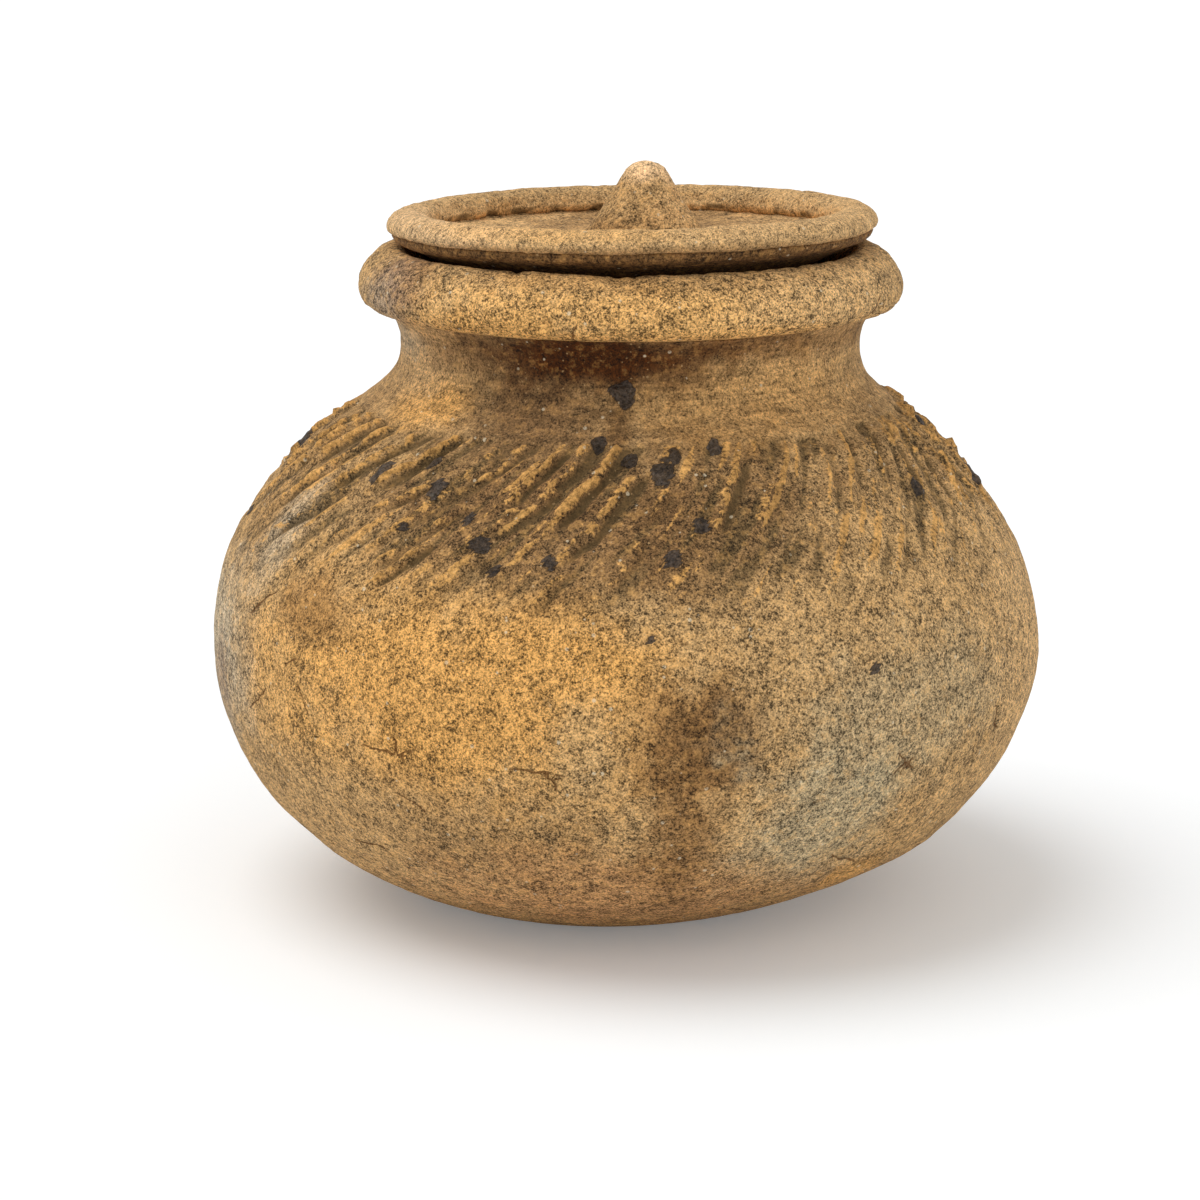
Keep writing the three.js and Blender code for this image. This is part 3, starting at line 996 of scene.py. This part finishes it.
    def base(self) -> ClayPiece:
        """The bottom pad.

        Returns:
            The piece.
        """
        outer = self.outer(self.foot_height, self.pad_height, 1.0)
        edge = outer.line[0]
        flat = [(0.6, 0.0), (edge[0] - 1.6, 0.0), (edge[0] - 0.5, 0.06), edge]
        radii = np.linspace(self.pad_inner[0], 1.2, 40)
        heights = self.belly_height - self.inner_drop * np.sqrt(1 - (radii / self.inner_radius) ** 2)
        inner = np.stack([radii, heights], 1)
        close = [inner[-1], (0.6, inner[-1][1] - 1.5), (0.6, 0.0)]
        stretches = [
            Stretch(flat, 2.4, self.bottom), outer, self.seam(outer.line[-1], self.pad_inner),
            Stretch(inner, 3.0, self.inside), Stretch(close, self.SEAM_STEP, self.luted)]
        return ClayPiece("base_pad", stretches, self.bend, self.lumps, self.twist)

    def body(self) -> ClayPiece:
        """The bulging, paddled wall.

        Returns:
            The piece.
        """
        outer = self.outer(self.pad_height, self.neck_foot, 1.06)
        top = math.acos(self.collar_inner[0] / self.inner_radius)
        end = math.acos(self.pad_inner[0] / self.inner_radius)
        inner = np.concatenate([
            oval(self.inner_radius, self.belly_height, self.inner_rise, np.linspace(top, 0, 30)),
            oval(self.inner_radius, self.belly_height, -self.inner_drop, np.linspace(0, end, 30)[1:])])
        stretches = [
            outer, self.seam(outer.line[-1], inner[0]),
            Stretch(inner, 6.0, self.inside), self.seam(inner[-1], outer.line[0])]
        return ClayPiece("paddled_wall", stretches, self.bend, self.lumps, self.twist)

    def neck(self) -> ClayPiece:
        """The wiped collar.

        Returns:
            The piece.
        """
        outer = self.outer(self.neck_foot, self.crease_height, 0.6)
        throat = [(self.bore, self.crease_height), (self.bore, 136.0), (self.bore + 0.8, 128.0),
                  (self.bore + 5, 120.5), self.collar_inner]
        stretches = [
            outer, self.seam(outer.line[-1], throat[0]),
            Stretch(throat, 2.0, self.inside), self.seam(self.collar_inner, outer.line[0])]
        return ClayPiece("wiped_neck", stretches, self.bend, self.lumps)

    def rim(self) -> ClayPiece:
        """The thick rolled rim with the lid's seat inside.

        Returns:
            The piece.
        """
        foot = self.crease_height + self.rim_lap
        outer = [(self.crease_radius, foot), *self.RIM_OUTLINE, (self.bore, self.RIM_SEAT)]
        throat = [outer[-1], (self.bore, foot)]
        seam = self.seam(throat[-1], outer[0])
        stretches = [Stretch(outer, 0.55, self.lip), Stretch(throat, 2.0, self.inside), seam]
        return ClayPiece("rolled_rim", stretches, self.bend, self.lumps)


@dataclass
class Lid:
    """The saucer lid: dish, rolled edge and cone knob. Sizes in mm."""

    floor_flat: float = 18.5
    floor_height: float = 158.41
    underside: float = 152.91
    tilt_front: float = math.radians(0.95)
    tilt_right: float = math.radians(0.7)
    shift: float = 1.3
    lift: float = 0.55
    knob_offset: float = 3.0
    lumps: Lumps = field(default_factory=lambda: Lumps(SEED + 9))

    # The underside is painted darker than the floor, most in the band at the front: painted shade of the
    # undercut
    UNDER_CLOUDS = clouds(
        (0, 159, 60, 9, Tone.UMBER, 0.8, 0.2), (60, 160, 50, 4, Tone.UMBER, 0.6),
        (180, 160, 60, 6, Tone.SAND, 0.6), (-90, 160, 40, 6, Tone.STAIN, 0.5))
    FLOOR_CLOUDS = (Cloud(170, 160, 40, 8, Tone.STAIN, 0.6),)
    ROLL_CLOUDS = clouds(
        (0, 162, 80, 1.6, Tone.STAIN, 0.55), (-60, 166, 40, 6, Tone.PEACH, 0.6),
        (60, 165, 30, 5, Tone.SAND, 0.6), (-20, 166, 40, 3, Tone.AMBER, 0.35),
        (180, 166, 60, 4, Tone.TAN, 0.6))
    KNOB_CLOUDS = clouds(
        (0, 163, 60, 6, Tone.TAN, 0.8), (-40, 161, 16, 5, Tone.STAIN, 0.6),
        (0, 177, 40, 5, Tone.PEACH, 0.95), (60, 166, 12, 6, Tone.SAND, 0.6))
    LEDGE = ((57.2, 161.5), (52.0, 161.4), (49.4, 161.1))
    FLOOR_SLOPE = ((48.6, 160.7), (44.0, 160.15), (38.0, 159.6), (28.0, 158.9))
    UNDER_CURVE = (
        (44, 153.6), (46.5, 154.9), (50, 156.6), (53.5, 158.2), (55.8, 159), (57, 160), (57.4, 161))
    ROLL_OUTLINE = (
        (49, 161), (53.5, 161.3), (57.2, 161.4), (58.2, 162), (58.5, 162.9), (58.1, 164.2),
        (57.1, 165.4), (55.5, 166.3), (53.3, 166.7), (51.2, 166.3), (49.6, 165.3), (48.5, 163.9),
        (48, 162.4), (48.5, 161.4), (49, 161))
    KNOB_OUTLINE = (
        (0.4, 158.5), (9, 158.5), (15.6, 158.6), (15.2, 159.4), (14.2, 160.4), (13, 161.6), (11.8, 163.4),
        (10.6, 165.4), (9.2, 167.8), (7.9, 170), (6.6, 172.2), (5.7, 174), (4.7, 175.6), (3.3, 176.7),
        (1.7, 177.2), (0.4, 177.3))
    AXIS = 0.6

    def bend(self, points: Array) -> Array:
        """Tips the lid in its seat, with its near side and its right side up."""
        rise = self.lift - points[:, 1] * self.tilt_front + points[:, 0] * self.tilt_right
        return points + np.stack([np.full(len(points), self.shift), np.zeros(len(points)), rise], 1)

    def knob_bend(self, points: Array) -> Array:
        """Sets the knob off the middle of the lid."""
        return self.bend(points + [self.knob_offset, 0, 0])

    def dish_skin(self, spots: Spots) -> Skin:
        """Works and paints the floor and the underside, with painted shade on the underside.

        Args:
            spots: Surface points of the saucer.

        Returns:
            Its lift and paint.
        """
        band = spots.radius > 50
        under = spots.paint(Tone.STAIN, self.UNDER_CLOUDS)
        floor = spots.paint(Tone.SAND, self.FLOOR_CLOUDS)
        tone = np.where((band | (spots.height < 158))[:, None], under, floor)
        lift = 0.14 * spots.rough(0.9, shift=90, squeeze=(0.05, 0.05, 1)) * band + 0.1 * spots.rough(4.0, 3)
        return Skin(lift * smooth(0.8, 3.0, spots.radius), tone, spots.marks(wiped=0.9))

    def roll_skin(self, spots: Spots) -> Skin:
        """Works and paints the rolled edge, with painted shade in the ragged crease at its fold.

        Args:
            spots: Surface points of the roll.

        Returns:
            Its lift and paint.
        """
        ragged = spots.rough(7.0, 4, shift=55)
        fold = 1 - smooth(48.8, 51.5, spots.radius)
        lift = 0.12 * spots.rough(2.4, 3) + 0.34 * spots.rough(15.0, shift=31)
        lift += fold * (0.85 * ragged + 0.15) + 0.6 * spots.pock(60, 161.5, 167.0, SEED + 6)
        low = 1 - smooth(161.8, 163.4, spots.height)
        # Painted shade in the crease at the fold
        crease_shade = np.clip(fold * low * smooth(-0.2, 0.4, -ragged), 0, 1)
        return Skin(lift, spots.paint(Tone.SAND, self.ROLL_CLOUDS), spots.marks(trench=crease_shade, wiped=0.35))

    def knob_skin(self, spots: Spots) -> Skin:
        """Works and paints the cone, with a bulge low on its left."""
        lift = (0.16 * spots.rough(2.6, 3) + 0.45 * spots.rough(9.0, shift=13)
                + 0.7 * hump(spots.across(-50), 5) * hump(spots.height - 163, 3.5))
        tone = spots.paint(Tone.TAN, self.KNOB_CLOUDS)
        return Skin(lift * smooth(0.5, 2.5, spots.radius), tone, spots.marks())

    def dish(self) -> ClayPiece:
        """The saucer with its sunken floor.

        Returns:
            The piece.
        """
        under = [(self.AXIS, self.underside), (38.0, self.underside), (41.8, self.underside + 0.25),
                 *self.UNDER_CURVE, self.LEDGE[0]]
        floor = [self.LEDGE[-1], *self.FLOOR_SLOPE, (self.floor_flat, self.floor_height),
                 (self.AXIS, self.floor_height)]
        close = [floor[-1], under[0]]
        stretches = [Stretch(line, step, self.dish_skin)
                     for line, step in ((under, 1.0), (self.LEDGE, 1.5), (floor, 1.0), (close, 3.0))]
        return ClayPiece("lid_saucer", stretches, self.bend, self.lumps)

    def roll(self) -> ClayPiece:
        """The rolled edge."""
        stretches = [Stretch(self.ROLL_OUTLINE, 0.6, self.roll_skin)]
        return ClayPiece("lid_roll", stretches, self.bend, self.lumps)

    def knob(self) -> ClayPiece:
        """The cone.

        Returns:
            The piece.
        """
        line = self.KNOB_OUTLINE
        stretches = [Stretch(line, 0.55, self.knob_skin), Stretch((line[-1], line[0]), 6.0, self.knob_skin)]
        return ClayPiece("cone_knob", stretches, self.knob_bend, self.lumps, columns=260)


@dataclass(frozen=True)
class Member:
    """How a finished piece joins the frame."""

    piece: ClayPiece
    node: str
    body: str
    slot: str
    finish: ClayFinish

    def place(self) -> None:
        """Builds, dresses and seats the piece on its body."""
        made = self.piece.build()
        made.data.materials.append(self.finish.material())
        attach(made, self.body)
        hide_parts(self.node)
        LOG.info("%s: %d faces on %s", made.name, len(made.data.polygons), self.body)


@dataclass
class Studio:
    """Pale floor, soft light and the camera. Places in metres, the lens in mm."""

    camera_place: Triple = (-0.0064, -0.83265, 0.2631)
    camera_reach: float = 50.0
    pitch: float = math.radians(13.0)
    lens: float = 105.0
    sky: float = 0.66
    floor_span: float = 12.0
    floor_colour: tuple[float, ...] = (0.92, 0.94, 0.95, 1.0)
    floor_glow: float = 0.16

    # Name, strength, width in degrees and direction from the jar
    LAMPS = (("key", 1.4, 48, (-0.45, -0.05, 1.0)), ("fill", 0.42, 60, (0.6, -1.0, 0.45)))

    def camera(self) -> None:
        """Sets the camera at the view of the photograph."""
        data = bpy.data.cameras.new("view")
        data.lens = self.lens
        data.clip_end = self.camera_reach
        eye = stand("view", data)
        eye.location = self.camera_place
        eye.rotation_euler = (math.pi / 2 - self.pitch, 0.0, 0.0)
        bpy.context.scene.camera = eye

    def lamps(self) -> None:
        """Adds the soft suns."""
        for name, power, width, toward in self.LAMPS:
            data = bpy.data.lights.new(name, "SUN")
            data.energy = power
            data.angle = math.radians(width)
            stand(name, data).rotation_euler = Vector(toward).to_track_quat("Z", "Y").to_euler()

    def world(self) -> None:
        """A soft sky that is brighter for camera, glossy and transmission rays."""
        world = bpy.data.worlds.new("sky")
        bpy.context.scene.world = world
        bench = Bench(world)
        path = bench.node("LightPath", {}, {}, "Is Camera Ray")
        seen = path.most(path.of("Is Glossy Ray")).most(path.of("Is Transmission Ray"))
        ends = {"Value": seen, "To Min": self.sky, "To Max": 1.0}
        level = bench.node("MapRange", {}, ends, "Result")
        glow = bench.node("Background", {}, {"Strength": level})
        bench.node("OutputWorld", {}, {"Surface": glow})

    def floor(self) -> None:
        """A pale floor that keeps the jar's shadow, with a little glow that only the camera sees."""
        half = self.floor_span / 2
        corners = [(-half, -half, 0), (half, -half, 0), (half, half, 0), (-half, half, 0)]
        mesh = bpy.data.meshes.new("floor")
        mesh.from_pydata(corners, [], [(0, 1, 2, 3)])
        material = bpy.data.materials.new("floor")
        bench = Bench(material)
        path = bench.node("LightPath", {}, {}, "Is Camera Ray")
        matt = bench.node("BsdfDiffuse", {}, {"Color": self.floor_colour})
        white = (1.0, 1.0, 1.0, 1.0)
        glow = bench.node("Emission", {}, {"Color": white, "Strength": self.floor_glow})
        both = bench.node("AddShader", {}, {0: matt, 1: glow})
        shown = bench.node("MixShader", {}, {0: path, 1: matt, 2: both})
        bench.node("OutputMaterial", {}, {"Surface": shown})
        mesh.materials.append(material)
        stand("floor", mesh)

    def build(self) -> None:
        """Builds the whole studio."""
        self.camera()
        self.world()
        self.floor()
        self.lamps()
        bpy.context.scene.view_settings.view_transform = "Standard"


def main() -> None:
    """Builds the studio and every clay member in order."""
    logging.basicConfig(level=logging.INFO, format="%(name)s: %(message)s")
    Studio().build()
    jar = Jar()
    lid = Lid()
    members = [
        Member(jar.base(), "jar_base", "jar", "base_clay", ClayFinish("wiped_base", wiped=0.8)),
        Member(jar.body(), "jar_body", "jar", "paddled_clay", ClayFinish("paddled_body")),
        Member(jar.neck(), "jar_neck", "jar", "wiped_clay",
               ClayFinish("wiped_collar", contrast=0.72, wiped=1.5)),
        Member(jar.rim(), "jar_rim", "jar", "gritty_clay",
               ClayFinish("gritty_rim", contrast=1.1, pale=0.16)),
        Member(lid.dish(), "lid_dish", "lid", "dish_clay", ClayFinish("saucer", contrast=0.9, wiped=1.0)),
        Member(lid.roll(), "lid_rim", "lid", "roll_clay", ClayFinish("lid_edge", contrast=0.8, grain=0.7)),
        Member(lid.knob(), "lid_knob", "lid", "knob_clay", ClayFinish("knob", contrast=0.9, pale=0.14))]
    for member in members:
        member.place()


if __name__ == "__main__":
    main()
